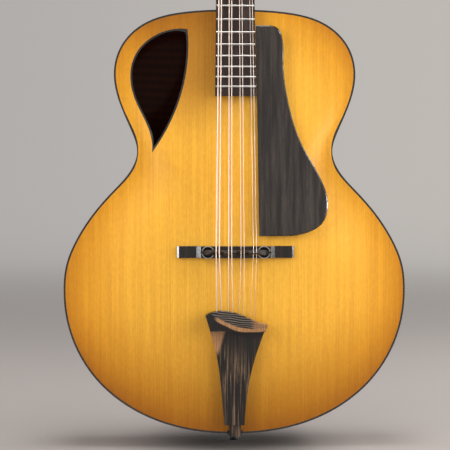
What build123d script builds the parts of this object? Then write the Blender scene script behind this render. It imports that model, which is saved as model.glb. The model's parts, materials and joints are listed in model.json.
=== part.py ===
from build123d import *
import os
from math import atan2, cos, pi, radians, sin, sqrt, tan

# Guitar-bodied octave mandolin: a carved archtop with four pairs of strings.
#
# The instrument is modelled lying on its back, the way it lies on the bench:
# X runs to the treble side, Y from the tail to the headstock, Z out of the top.
# Y = 0 is the tail edge of the body and Z = 0 the plane where the top meets the ribs.
# save() stands every piece up, so that in the written files +Z runs to the headstock
# and the top faces -Y, with the origin where a hanger holds the neck.

# ---------------------------------------------------------------- driving dimensions
SCALE_LENGTH = 571.5          # 22.5 inch
FRET_COUNT = 19
BODY_LENGTH = 503.5
RIB_DEPTH = 76.0
RIB_THICKNESS = 2.4
PLATE_EDGE = 5.0              # thickness of both plates at the rim
TOP_ARCH = 16.0               # rise of the top above its edge
BACK_ARCH = 14.0
PLATE_MIDDLE = 5.5            # thickness of both plates in the middle
BINDING_WIDTH = 2.2
LEDGE = 6.0                   # flat rim of each plate before the arch starts
LINING_WIDTH = 8.0
LINING_HEIGHT = 14.0

ARCH_CENTRE = (0.0, 217.0)    # highest point of both plates
ARCH_POWER = 1.7              # how full the arch is
ARCH_SHARES = (1.0, 0.95, 0.88, 0.8, 0.68, 0.52, 0.34, 0.14)

# Half outline of the body on the treble side, from the neck round to the tail.
HALF_OUTLINE = [
    (0, BODY_LENGTH), (60, 500.5), (107, 487), (134, 461), (143, 428), (135.5, 391),
    (121.5, 358), (115.7, 335.5), (122.5, 315), (145.5, 288), (170, 259.5),
    (188.6, 230), (199.8, 202), (203, 173), (199.5, 136), (184, 93.5), (159.5, 59.5),
    (118, 27.5), (64, 6.8), (0, 0),
]

# Neck: the fretboard's top face passes through JOINT and leans back by NECK_ANGLE.
NECK_ANGLE = 3.8
JOINT_Y = 503.0
JOINT_Z = 18.5
FRETBOARD_THICKNESS = 6.0
NUT_HALF_WIDTH = 18.0
END_HALF_WIDTH = 24.2
TWELFTH_FRET = 3.5            # along the neck, from the joint
NUT_Y = TWELFTH_FRET + SCALE_LENGTH / 2
NUT_LENGTH = 4.5
BOARD_END = -102.3
FRET_RADIUS = 1.1
EXTENSION_THICKNESS = 4.0
SHAFT_DEPTH = 15.0            # neck wood under the fretboard at the nut
HEEL_DEPTH = RIB_DEPTH + PLATE_EDGE
HEEL_CAP = 3.0

# Headstock, in its own frame: origin behind the nut, leaning back by HEAD_ANGLE.
HEAD_ANGLE = 14.0
HEAD_START = (NUT_Y + NUT_LENGTH, -5.5)
VENEER = 2.5
HEAD_THICKNESS = 16.0
POST_X = 25.0
POST_YS = (45.0, 68.0, 91.0, 114.0)

# Strings, from the bass side to the treble side.
STRING_RADII = (0.62, 0.62, 0.46, 0.46, 0.31, 0.31, 0.2, 0.2)
COURSES = ("g", "d", "a", "e")
SADDLE_Y = 217.8
STRING_Z = 43.0               # underside of the strings at the saddle
NUT_ACTION = 1.4              # underside of the strings above the fretboard at the nut
BALL_Y = 128.4
BALL_Z = 29.6
BALL_RADIUS = 1.9

# Bridge
BRIDGE_HALF = 69.0
BRIDGE_WIDTH = 14.0
BRIDGE_BLOCK_HALF = 41.0
BRIDGE_TOP = 30.5
FOOT_TOP = 24.8
WHEEL_X = 32.8
WHEEL_RADIUS = 7.5
WHEEL_BOTTOM = 31.7
WHEEL_HEIGHT = 2.8
STUD_RADIUS = 2.0
STUD_BOTTOM = 23.5
STUD_TOP = 37.2
SADDLE_HALF = 41.5
SADDLE_WIDTH = 6.0
SADDLE_BOTTOM = WHEEL_BOTTOM + WHEEL_HEIGHT + 0.05
RUNNING_GAP = 0.05

# Tail
PIN_Z = -38.0
PIN_RADIUS = 4.0
PIN_HEAD_RADIUS = 7.0
TANG_HALF = 7.0
STRAP_HALF = 6.0
STRAP_BOTTOM = 7.4
STRAP_THICKNESS = 1.6

# Pickguard
GUARD_LOW_Y = 236.5
GUARD_HIGH_Y = 484.0
GUARD_LOW_Z = 26.0
GUARD_HIGH_Z = 14.5
GUARD_THICKNESS = 3.0

# Where a hanger's two arms hold the neck, and so the origin of the written files.
HANGER_NECK_Y = NUT_Y + 1.0
HANGER_NECK_Z = -FRETBOARD_THICKNESS - SHAFT_DEPTH

NECK = Pos(0, JOINT_Y, JOINT_Z) * Rot(-NECK_ANGLE, 0, 0)
HEAD = NECK * Pos(0, HEAD_START[0], HEAD_START[1]) * Rot(-HEAD_ANGLE, 0, 0)
HANGER_POINT = (NECK * Pos(0, HANGER_NECK_Y, HANGER_NECK_Z)).position
STAND = Rot(90, 0, 0) * Pos(-HANGER_POINT.X, -HANGER_POINT.Y, -HANGER_POINT.Z)

os.makedirs("parts", exist_ok=True)


# ---------------------------------------------------------------- helpers
def solids_of(shapes):
    found = []
    for shape in shapes:
        found += shape.solids()
    return found


def save(name, *shapes):
    """Writes one sub-part, stood up, with each of its solids separate."""
    solids = [STAND * solid for solid in solids_of(shapes)]
    shape = solids[0] if len(solids) == 1 else Compound(children=solids)
    export_step(shape, f"parts/{name}.step")


def block(x0, x1, y0, y1, z0, z1):
    """A box between two corners."""
    size = (x1 - x0, y1 - y0, z1 - z0)
    return Pos((x0 + x1) / 2, (y0 + y1) / 2, (z0 + z1) / 2) * Box(*size)


def post(radius, x, y, z0, z1):
    """A round bar along Z between two heights."""
    return Pos(x, y, (z0 + z1) / 2) * Cylinder(radius, z1 - z0)


def bar(radius, start, end):
    """A round bar between two points."""
    path = Vector(*end) - Vector(*start)
    plane = Plane(origin=start, z_dir=path)
    return extrude(plane * Circle(radius), path.length)


def curve(points, start, end):
    """A smooth edge through the points that leaves and arrives in the given directions."""
    return Spline(*points, tangents=[start, end], tangent_scalars=[1, 1]).edge()


def flipped(edge):
    """The edge's mirror image on the bass side."""
    return mirror(edge, about=Plane.YZ).edge()


# ---------------------------------------------------------------- body outline and arch
HALF_CURVE = curve(HALF_OUTLINE, (1, 0), (-1, 0))
CURVE_STEPS = 26


def inset_points(distance):
    """Half outline moved inwards along its normals."""
    found = []
    for step in range(CURVE_STEPS + 1):
        point = HALF_CURVE @ (step / CURVE_STEPS)
        way = HALF_CURVE % (step / CURVE_STEPS)
        x = point.X + way.Y * distance
        y = point.Y - way.X * distance
        found.append((0.0 if step in (0, CURVE_STEPS) else x, y))
    return found


def closed_face(half_points):
    """The face inside a half outline and its mirror image."""
    right = curve(half_points, (1, 0), (-1, 0))
    return make_face(Wire([right, flipped(right)]))


def outline_face(distance=0.0):
    return closed_face(inset_points(distance) if distance else HALF_OUTLINE)


def outline_ring(outer, inner, z0, z1):
    """An upright band that follows the outline between two insets."""
    whole = extrude(Pos(0, 0, z0) * outline_face(outer), z1 - z0)
    return whole - extrude(Pos(0, 0, z0) * outline_face(inner), z1 - z0)


def arch_rise(share):
    """Height of the arch, from 0 at the ledge (share 1) to 1 in the middle (share 0)."""
    return 0.5 * (1 + cos(pi * share**ARCH_POWER))


def level_points(base, share):
    """A level line of the arch: it turns from the outline's shape into an egg shape."""
    cx, cy = ARCH_CENTRE
    across, up, down = 185.0, 270.0, 215.0
    found = []
    for x, y in base:
        angle = atan2(y - cy, x - cx)
        radius = sqrt((x - cx) ** 2 + (y - cy) ** 2)
        along = up if y > cy else down
        egg = 1 / sqrt((cos(angle) / across) ** 2 + (sin(angle) / along) ** 2)
        reach = share * (share * radius + (1 - share) * egg)
        found.append((cx + reach * cos(angle), cy + reach * sin(angle)))
    found[0] = (0.0, found[0][1])
    found[-1] = (0.0, found[-1][1])
    return found


def arch(inset, floor, height):
    """A carved dome that stands on the plane Z = floor and rises by height."""
    base = inset_points(inset)
    sections = []
    for share in ARCH_SHARES:
        z = floor + height * (arch_rise(share) if share < 1 else 0.0)
        sections.append(Pos(0, 0, z) * closed_face(level_points(base, share)))
    return loft(sections)


def plate(height):
    """A carved plate, lying on Z = 0: a flat slab with its dome, hollowed from below."""
    slab = extrude(outline_face(BINDING_WIDTH), PLATE_EDGE)
    dome = arch(LEDGE, PLATE_EDGE, height)
    hollow = arch(LEDGE * 2, 0, height + PLATE_EDGE - PLATE_MIDDLE)
    return slab + dome, hollow


top_blank, top_air = plate(TOP_ARCH)
back_blank, back_air = plate(BACK_ARCH)
BACK = Pos(0, 0, -RIB_DEPTH) * Rot(0, 180, 0)


# ---------------------------------------------------------------- sound hole
HOLE_TOP = (-56.0, 480.3)
HOLE_TIP = (-98.2, 334.4)
HOLE_RIGHT = [HOLE_TOP, (-57.0, 433.7), (-69.0, 387.5), HOLE_TIP]
HOLE_LEFT = [
    HOLE_TIP, (-98.6, 350.0), (-104.5, 368.5), (-117.6, 396.0), (-123.6, 424.0),
    (-117.4, 450.5), (-95.5, 472.2), HOLE_TOP,
]
HOLE_EDGING = 2.2


def inside_of(edge, distance, first, last):
    """A curve beside an edge, from one given corner to another."""
    found = [first]
    for step in range(1, 12):
        point, way = edge @ (step / 12), edge % (step / 12)
        found.append((point.X + way.Y * distance, point.Y - way.X * distance))
    return Spline(*found, last).edge()


def hole_face(inset=0.0):
    """The teardrop, or a smaller one at a distance inside it."""
    right, left = Spline(*HOLE_RIGHT).edge(), Spline(*HOLE_LEFT).edge()
    if inset:
        top = (HOLE_TOP[0] - inset * 1.1, HOLE_TOP[1] - inset * 1.8)
        tip = (HOLE_TIP[0] + inset * 0.35, HOLE_TIP[1] + inset * 2.6)
        right = inside_of(right, inset, top, tip)
        left = inside_of(left, inset, tip, top)
    return make_face(Wire([right, left]))


def build_top():
    whole = top_blank - top_air
    hole = extrude(Pos(0, 0, -2) * hole_face(), 40)
    opening = extrude(Pos(0, 0, -2) * hole_face(HOLE_EDGING), 40)
    save("top_plate", whole - hole)
    save("sound_hole_edging", (whole & hole) - opening)


def build_back():
    save("back_plate", BACK * (back_blank - back_air))


def build_rim():
    ribs = outline_ring(0, RIB_THICKNESS, -RIB_DEPTH, 0)
    ribs -= bar(PIN_RADIUS, (0, -5, PIN_Z), (0, 10, PIN_Z))
    side = block(0, 250, -10, 520, -100, 10)
    save("rib_treble", ribs & side)
    save("rib_bass", ribs - side)
    save("top_binding", outline_ring(0, BINDING_WIDTH, 0, PLATE_EDGE))
    save("back_binding", outline_ring(0, BINDING_WIDTH, -RIB_DEPTH - PLATE_EDGE, -RIB_DEPTH))


# ---------------------------------------------------------------- inside the body
BLOCK_HALF = 32.0
NECK_BLOCK_Y = 455.0
TAIL_BLOCK_Y = 24.0


def build_inside():
    inside = extrude(Pos(0, 0, -RIB_DEPTH) * outline_face(RIB_THICKNESS), RIB_DEPTH)
    neck_room = block(-BLOCK_HALF, BLOCK_HALF, NECK_BLOCK_Y, 510, -RIB_DEPTH, 0)
    tail_room = block(-BLOCK_HALF, BLOCK_HALF, -5, TAIL_BLOCK_Y, -RIB_DEPTH, 0)
    save("neck_block", inside & neck_room)
    tail = inside & tail_room
    save("tail_block", tail - bar(PIN_RADIUS, (0, -5, PIN_Z), (0, TAIL_BLOCK_Y + 5, PIN_Z)))
    for name, z0 in (("top_linings", -LINING_HEIGHT), ("back_linings", -RIB_DEPTH)):
        ring = outline_ring(RIB_THICKNESS, LINING_WIDTH, z0, z0 + LINING_HEIGHT)
        save(name, ring - neck_room - tail_room)


TONE_BAR_WIDTH = 8.0
TONE_BARS = ((-30.0, 6.0), (32.0, -4.0))   # distance from the centre line, splay


def build_tone_bars():
    bars = []
    for x, splay in TONE_BARS:
        stick = Pos(x, ARCH_CENTRE[1], 10) * Rot(0, 0, splay) * Box(TONE_BAR_WIDTH, 300, 20)
        bars.append(stick & top_air)
    save("tone_bars", *bars)


# ---------------------------------------------------------------- neck
def board_half(y):
    """Half width of the fretboard at a place along the neck."""
    return NUT_HALF_WIDTH + (NUT_Y - y) * (END_HALF_WIDTH - NUT_HALF_WIDTH) / (NUT_Y - BOARD_END)


def fret_y(number):
    return NUT_Y - SCALE_LENGTH * (1 - 2 ** (-number / 12))


def tapered_slab(y0, y1, z0, z1, margin=0.0):
    """A slab as wide as the fretboard, less a margin on each side."""
    a, b = board_half(y0) - margin, board_half(y1) - margin
    corners = [(-a, y0), (a, y0), (b, y1), (-b, y1)]
    return extrude(Pos(0, 0, z0) * make_face(Polyline(*corners, close=True)), z1 - z0)


def fret_profile():
    """Crown and tang of a fret, across the neck, in the YZ plane."""
    tang, depth = 0.3, 1.6
    crown = ThreePointArc((FRET_RADIUS, 0), (0, FRET_RADIUS), (-FRET_RADIUS, 0))
    sides = Polyline(
        (-FRET_RADIUS, 0), (-tang, 0), (-tang, -depth), (tang, -depth), (tang, 0),
        (FRET_RADIUS, 0),
    )
    return Plane.YZ * make_face([crown.edge(), *sides.edges()])


def build_fretboard():
    board = tapered_slab(BOARD_END, NUT_Y, -FRETBOARD_THICKNESS, 0)
    frets, dots = [], []
    for number in range(1, FRET_COUNT + 1):
        y = fret_y(number)
        half = board_half(y) - 0.3
        frets.append(extrude(Pos(-half, y, 0) * fret_profile(), 2 * half))
    board -= [fret & block(-30, 30, BOARD_END, NUT_Y, -3, 0) for fret in frets]
    for number in (3, 5, 7, 10, 12, 15, 17):
        y = (fret_y(number) + fret_y(number - 1)) / 2
        x = -board_half(y)
        dots.append(bar(1.0, (x - 0.05, y, -3), (x + 1.2, y, -3)))
    save("fretboard", NECK * (board - dots))
    save("frets", *[NECK * fret for fret in frets])
    save("side_dots", *[NECK * dot for dot in dots])


def shaft_section(y, depth):
    """The neck's rounded cross-section under the fretboard."""
    half = board_half(y)
    top = -FRETBOARD_THICKNESS
    shoulder = 2.0
    corners = [
        (half, top - shoulder), (half * 0.72, top - depth * 0.74), (0, top - depth),
        (-half * 0.72, top - depth * 0.74), (-half, top - shoulder),
    ]
    back = curve(corners, (0, -1), (0, 1))
    lid = Polyline((-half, top - shoulder), (-half, top), (half, top), (half, top - shoulder))
    return Plane(origin=(0, y, 0), x_dir=(1, 0, 0), z_dir=(0, -1, 0)) * make_face(
        [back, *lid.edges()]
    )


HEEL_LENGTH = 46.0
HEEL_TIP_HALF = 15.0
ROD_RADIUS = 2.5
ROD_Z = -13.5
POCKET_RADIUS = 5.4
POCKET_END = 25.0


def heel():
    """The heel: a side profile across the neck, narrowed to its cap by a front profile."""
    floor = -HEEL_DEPTH - 1
    hollow = curve([(HEEL_LENGTH, 0), (24, -16), (15, -42), (12.5, floor)], (-1, -0.12), (0, -1))
    rest = Polyline((12.5, floor), (-40, floor), (-40, 0), (HEEL_LENGTH, 0))
    side = make_face([hollow, *rest.edges()])
    side = extrude(Pos(-40, JOINT_Y, 0) * (Plane.YZ * side), 80)
    half = board_half(0)
    flank = curve([(half, 5), (half - 1.5, -14), (HEEL_TIP_HALF, floor)], (0, -1), (-0.12, -1))
    lines = [Line((-half, 5), (half, 5)), Line((-HEEL_TIP_HALF, floor), (HEEL_TIP_HALF, floor))]
    front = make_face([flank, flipped(flank), *[line.edge() for line in lines]])
    front = extrude(Plane.XZ.offset(-JOINT_Y - 70) * front, 120)
    return side & front


def body_prism():
    return extrude(Pos(0, 0, -RIB_DEPTH - 30) * outline_face(), RIB_DEPTH + 30 + PLATE_EDGE)


def head_outline():
    """The headstock's outline in its own frame."""
    shoulder = curve([(19.5, -4), (21, 10), (36.5, 33)], (0, 1), (0.35, 1))
    flank = Line((36.5, 33), (33, 128)).edge()
    crown = curve([(33, 128), (24, 143), (9, 144.5), (0, 150)], (-0.05, 1), (-0.75, 0.66))
    right = [shoulder, flank, crown]
    left = [flipped(edge) for edge in right]
    return make_face([*right, *left, Line((-19.5, -4), (19.5, -4)).edge()])


def head_holes():
    """Holes for the string posts, their bushings and the plates' screws."""
    cuts = []
    for x in (-POST_X, POST_X):
        for y in POST_YS:
            cuts.append(post(POST_RADIUS + 0.3, x, y, -HEAD_THICKNESS - 1, 1))
            cuts.append(post(BUSHING_RADIUS, x, y, -BUSHING_DEPTH, 1))
        for y in PLATE_SCREW_YS:
            cuts.append(post(PLATE_SCREW_RADIUS, x, y, -HEAD_THICKNESS - 1, -HEAD_THICKNESS + 7))
    return cuts


def build_neck():
    sections = [shaft_section(NUT_Y + NUT_LENGTH + 2, SHAFT_DEPTH),
                shaft_section(NUT_Y / 2, SHAFT_DEPTH + 1), shaft_section(20, SHAFT_DEPTH + 3)]
    shaft = NECK * loft(sections)
    extension = tapered_slab(
        BOARD_END + 4, 22, -FRETBOARD_THICKNESS - EXTENSION_THICKNESS, -FRETBOARD_THICKNESS, 2.0
    )
    root = heel() & NECK * block(-60, 60, -60, 80, -120, -FRETBOARD_THICKNESS)
    core = HEAD * extrude(Pos(0, 0, -HEAD_THICKNESS) * head_outline(), HEAD_THICKNESS - VENEER)
    core -= NECK * block(-60, 60, NUT_Y - 40, NUT_Y + NUT_LENGTH, -40, 40)
    cap_room = block(-60, 60, JOINT_Y - 10, JOINT_Y + 60, -130, -RIB_DEPTH - PLATE_EDGE + HEEL_CAP)
    wood = (shaft + root - body_prism()) + core + NECK * extension
    rod = NECK * bar(ROD_RADIUS, (0, 24, ROD_Z), (0, NUT_Y + POCKET_END, ROD_Z))
    pocket = NECK * bar(POCKET_RADIUS, (0, NUT_Y + 7, ROD_Z), (0, NUT_Y + POCKET_END, ROD_Z))
    mouth = NECK * block(
        -POCKET_RADIUS, POCKET_RADIUS, NUT_Y + 7, NUT_Y + POCKET_END, ROD_Z, 5
    )
    cap = (root - body_prism()) & cap_room
    board_room = NECK * block(-60, 60, -110, NUT_Y + NUT_LENGTH, -FRETBOARD_THICKNESS, 40)
    wood = wood - cap_room - board_room - rod - pocket - mouth
    wood -= [HEAD * cut for cut in head_holes()]
    wood -= [HEAD * post(1.0, x, y, -9, 1) for x, y in COVER_SCREWS]
    wood -= HEAD * extrude(Pos(0, 0, -VENEER) * head_outline(), VENEER + 10)
    save("neck", wood)
    save("heel_cap", cap)
    save("truss_rod", NECK * bar(ROD_RADIUS, (0, 24, ROD_Z), (0, NUT_Y + 16, ROD_Z)))
    veneer = HEAD * extrude(Pos(0, 0, -VENEER) * head_outline(), VENEER)
    veneer -= [HEAD * cut for cut in head_holes()]
    veneer -= [HEAD * post(1.0, x, y, -9, 1) for x, y in COVER_SCREWS]
    veneer = veneer - NECK * block(-60, 60, NUT_Y - 40, NUT_Y + NUT_LENGTH, -40, 40) - mouth - pocket
    save("headstock_veneer", veneer)


COVER_SCREWS = ((-7.4, 5.0), (7.4, 5.0), (0.0, 30.5))
ROD_NUT_START = NUT_Y + 10
ROD_NUT_LENGTH = 9.0


def build_truss():
    """The rod's hexagonal nut in its pocket, and the cover plate with three screws."""
    plane = Plane(origin=(0, ROD_NUT_START, ROD_Z), z_dir=(0, 1, 0))
    nut = extrude(plane * RegularPolygon(4.0, 6), ROD_NUT_LENGTH)
    nut -= bar(ROD_RADIUS + RUNNING_GAP, (0, ROD_NUT_START - 1, ROD_Z), (0, NUT_Y + 16.1, ROD_Z))
    nut -= bar(1.6, (0, NUT_Y + 16, ROD_Z), (0, ROD_NUT_START + ROD_NUT_LENGTH + 1, ROD_Z))
    save("truss_rod_nut", NECK * nut)
    bell = curve([(10, 1), (10.2, 10), (5, 28), (0, 36)], (0.1, 1), (-0.8, 0.5))
    face = make_face([bell, flipped(bell), Line((-10, 1), (10, 1)).edge()])
    cover = extrude(face, 2.0) - [post(1.0, x, y, -1, 3) for x, y in COVER_SCREWS]
    save("truss_rod_cover", HEAD * cover)
    screws = [post(1.0, x, y, -9, 2) + post(1.9, x, y, 2, 2.8) for x, y in COVER_SCREWS]
    save("truss_cover_screws", *[HEAD * screw for screw in screws])


# ---------------------------------------------------------------- strings
NUT_SPACING = 9.7
NUT_PAIR = 2.4
BRIDGE_SPACING = 14.5
BRIDGE_PAIR = 3.6
TAIL_SPACING = 12.7
TAIL_PAIR = 5.6
POST_RADIUS = 3.0
WRAP_GAP = 0.05
WRAP_TURNS = 3
WRAP_HEIGHT = 7.0             # of the string above the headstock's face, at its post


def place_across(index, spacing, pair):
    """Distance of a string from the centre line."""
    course, second = divmod(index, 2)
    return (course - 1.5) * spacing + (second - 0.5) * pair


def post_place(index):
    """The post that a string goes to: the outer strings go to the nearest ones."""
    order = index if index < 4 else 7 - index
    return (-POST_X if index < 4 else POST_X), POST_YS[order]


def string_points(index):
    """Ball end, saddle, nut and the place where the string meets its post."""
    radius = STRING_RADII[index]
    ball = Vector(place_across(index, TAIL_SPACING, TAIL_PAIR), BALL_Y + BALL_RADIUS, BALL_Z)
    saddle = Vector(place_across(index, BRIDGE_SPACING, BRIDGE_PAIR), SADDLE_Y, STRING_Z + radius)
    nut_x = place_across(index, NUT_SPACING, NUT_PAIR)
    nut = (NECK * Pos(nut_x, NUT_Y + 0.6, NUT_ACTION + radius)).position
    nut_in_head = (HEAD.inverse() * Pos(nut.X, nut.Y, nut.Z)).position
    x, y = post_place(index)
    wrap = POST_RADIUS + WRAP_GAP + radius
    side = 1 if x < 0 else -1
    toward = Vector(nut_in_head.X - x, nut_in_head.Y - y, 0)
    base = atan2(toward.Y, toward.X)
    swing = side * atan2(sqrt(toward.length**2 - wrap**2), wrap)
    tangent = Vector(x + wrap * cos(base + swing), y + wrap * sin(base + swing), WRAP_HEIGHT)
    end = (HEAD * Pos(tangent.X, tangent.Y, tangent.Z)).position
    return ball, saddle, nut, end, (x, y, wrap, base + swing, side)


def string_run(index, growth=0.0):
    """The string from its ball end to its post, as one swept tube."""
    ball, saddle, nut, end, _ = string_points(index)
    path = FilletPolyline(ball, saddle, nut, end, radius=(4.0, 4.0))
    plane = Plane(origin=path @ 0, z_dir=path % 0)
    return sweep(plane * Circle(STRING_RADII[index] + growth), path=path)


def string_wraps(index):
    """The turns round the post: a coil that starts where the string arrives."""
    radius = STRING_RADII[index]
    _, _, _, _, (x, y, wrap, start, side) = string_points(index)
    pitch = 2 * radius + 0.06
    coil_height = WRAP_TURNS * pitch
    path = Helix(pitch, coil_height, wrap, lefthand=side > 0)
    plane = Plane(origin=path @ 0, z_dir=path % 0)
    coil = sweep(plane * Circle(radius), path=path, is_frenet=True)
    flip = Rot(180, 0, 0)
    return HEAD * Pos(x, y, WRAP_HEIGHT) * Rot(0, 0, start * 180 / pi) * flip * coil


def build_strings():
    balls = []
    for course, name in enumerate(COURSES):
        pieces = []
        for index in (2 * course, 2 * course + 1):
            pieces += [string_run(index), string_wraps(index)]
            ball = string_points(index)[0]
            x, y, z = ball.X, BALL_Y, BALL_Z
            balls.append(bar(BALL_RADIUS, (x - 1.5, y, z), (x + 1.5, y, z)))
        save(f"strings_{name}", *pieces)
    save("ball_ends", *balls)


def string_grooves(gap):
    return [string_run(index, gap) for index in range(len(STRING_RADII))]


def build_nut():
    nut = tapered_slab(NUT_Y, NUT_Y + NUT_LENGTH, -FRETBOARD_THICKNESS, NUT_ACTION + 0.5)
    nut = NECK * nut
    save("nut", nut - string_grooves(0.02))


# ---------------------------------------------------------------- bridge
def build_bridge():
    block_foot = BRIDGE_BLOCK_HALF + 5.0
    right = [
        (BRIDGE_HALF, 0), (BRIDGE_HALF, FOOT_TOP - 2.6), (BRIDGE_HALF - 2.4, FOOT_TOP),
        (block_foot, FOOT_TOP - 0.6), (BRIDGE_BLOCK_HALF, BRIDGE_TOP), (16, BRIDGE_TOP),
    ]
    arch_top = [(0, BRIDGE_TOP + 0.6)]
    corners = right + arch_top + [(-x, z) for x, z in reversed(right)]
    side = extrude(Plane.XZ.offset(-SADDLE_Y - BRIDGE_WIDTH / 2) * make_face(
        Polyline(*corners, close=True)), BRIDGE_WIDTH)
    base = side - top_blank
    base = max(base.solids(), key=lambda solid: solid.volume)
    studs = [post(STUD_RADIUS, x, SADDLE_Y, STUD_BOTTOM, STUD_TOP) for x in (-WHEEL_X, WHEEL_X)]
    save("bridge_base", base - studs)
    save("bridge_studs", *studs)
    for name, x in (("bass", -WHEEL_X), ("treble", WHEEL_X)):
        save(f"thumbwheel_{name}", thumbwheel(x))
    save("bridge_saddle", saddle())


KNURLS = 36


def thumbwheel(x):
    """A knurled disc on its stud."""
    top = WHEEL_BOTTOM + WHEEL_HEIGHT
    wheel = post(WHEEL_RADIUS, x, SADDLE_Y, WHEEL_BOTTOM, top)
    wheel -= post(STUD_RADIUS + RUNNING_GAP, x, SADDLE_Y, WHEEL_BOTTOM - 1, top + 1)
    for step in range(KNURLS):
        angle = 2 * pi * step / KNURLS
        groove_x = x + (WHEEL_RADIUS + 0.15) * cos(angle)
        groove_y = SADDLE_Y + (WHEEL_RADIUS + 0.15) * sin(angle)
        wheel -= post(0.4, groove_x, groove_y, WHEEL_BOTTOM - 1, top + 1)
    return wheel


def saddle():
    """A blade with a ridge that steps to and fro, so that each pair plays in tune."""
    y0, y1 = SADDLE_Y - SADDLE_WIDTH / 2, SADDLE_Y + SADDLE_WIDTH / 2
    tip = 8.0
    plan = Polyline(
        (-SADDLE_HALF, SADDLE_Y - 1), (-SADDLE_HALF + tip, y0), (SADDLE_HALF - tip, y0),
        (SADDLE_HALF, SADDLE_Y - 1), (SADDLE_HALF, SADDLE_Y + 1), (SADDLE_HALF - tip, y1),
        (-SADDLE_HALF + tip, y1), (-SADDLE_HALF, SADDLE_Y + 1), close=True,
    )
    blade = extrude(Pos(0, 0, SADDLE_BOTTOM) * make_face(plan), 12)
    crest = STRING_Z + 0.35
    low, mid = SADDLE_BOTTOM + 4.2, SADDLE_BOTTOM + 5.4
    arm = curve([(27.5, crest), (34, mid), (SADDLE_HALF, low)], (1, -0.2), (1, -0.1))
    lines = [
        Line((-27.5, crest), (27.5, crest)), Line((SADDLE_HALF, low), (SADDLE_HALF, SADDLE_BOTTOM)),
        Line((SADDLE_HALF, SADDLE_BOTTOM), (-SADDLE_HALF, SADDLE_BOTTOM)),
        Line((-SADDLE_HALF, SADDLE_BOTTOM), (-SADDLE_HALF, low)),
    ]
    face = make_face([arm, flipped(arm), *[line.edge() for line in lines]])
    rise = extrude(Plane.XZ.offset(-SADDLE_Y - 20) * face, 40)
    blade = blade & rise
    bevel_floor = STRING_Z - 3.0
    for course in range(4):
        step = 0.9 if course % 2 == 0 else -0.9
        x0 = (course - 2) * BRIDGE_SPACING - (8 if course == 0 else 0)
        x1 = (course - 1) * BRIDGE_SPACING + (8 if course == 3 else 0)
        ridge = SADDLE_Y + step
        for way in (-1, 1):
            wedge = [
                (ridge + way * 0.7, crest + 1), (ridge + way * 0.7, STRING_Z - 0.4),
                (SADDLE_Y + way * (SADDLE_WIDTH / 2 + 0.1), bevel_floor),
                (SADDLE_Y + way * (SADDLE_WIDTH / 2 + 0.1), crest + 1),
            ]
            face = Plane.YZ.offset(x0) * make_face(Polyline(*wedge, close=True))
            blade -= extrude(face, x1 - x0)
    for x in (-WHEEL_X, WHEEL_X):
        blade -= post(STUD_RADIUS + 0.15, x, SADDLE_Y, SADDLE_BOTTOM - 1, STUD_TOP + 1.6)
    return blade - string_grooves(0.02)


# ---------------------------------------------------------------- tailpiece and end pin
TAIL_OUTLINE_LEFT = [
    (-13.0, 11.7), (-15.4, 41.6), (-17.8, 65.4), (-21.2, 89.3), (-26.8, 113.1), (-35.7, 143.5),
]
TAIL_OUTLINE_TOP = [
    (-35.7, 143.5), (-28.5, 147.3), (-17.8, 149.0), (-4.7, 147.6), (4.9, 144.6), (14.4, 140.6),
    (25.2, 136.0), (37.3, 132.6),
]
TAIL_OUTLINE_RIGHT = [
    (35.5, 128.0), (30.0, 113.1), (24.0, 95.2), (19.2, 77.3), (15.7, 59.5), (13.2, 41.6),
    (10.9, 11.7),
]
TAIL_UNDERSIDE = STRAP_BOTTOM + STRAP_THICKNESS


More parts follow.
